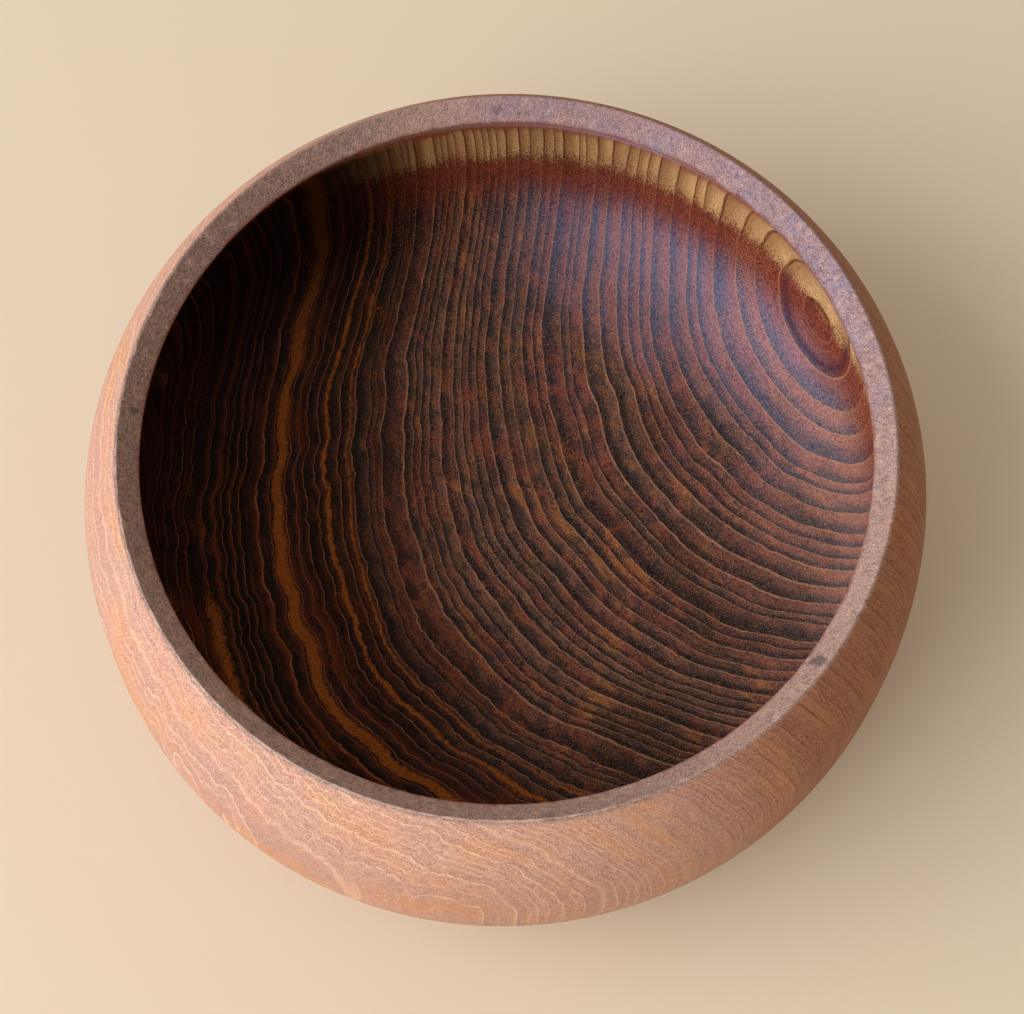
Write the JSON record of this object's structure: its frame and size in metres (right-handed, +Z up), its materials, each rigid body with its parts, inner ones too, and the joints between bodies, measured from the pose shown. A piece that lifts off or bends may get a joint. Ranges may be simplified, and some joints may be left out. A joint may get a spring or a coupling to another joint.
{
  "type": "salad bowl",
  "caption": "Round-bellied salad bowl turned from solid teak, with a wall that leans inwards, a flat rim cut that falls towards the inside, and a low foot ring round a shallow recess",
  "frame": {"origin": "middle of the face that the bowl stands on, on the axis that it was turned about", "axes": "+Z is up, out of the mouth; +X is to the right in the picture and +Y is away from its viewer; the longer axis of the bowl's slight oval is 78 degrees from +X towards +Y"},
  "size_m": [0.264, 0.2698, 0.1147],
  "materials": {
    "oiled_teak": "oiled, worn to a satin, with growth rings"
  },
  "bodies": {
    "root": {"turned_bowl": "oiled_teak"}
  },
  "joints": []
}
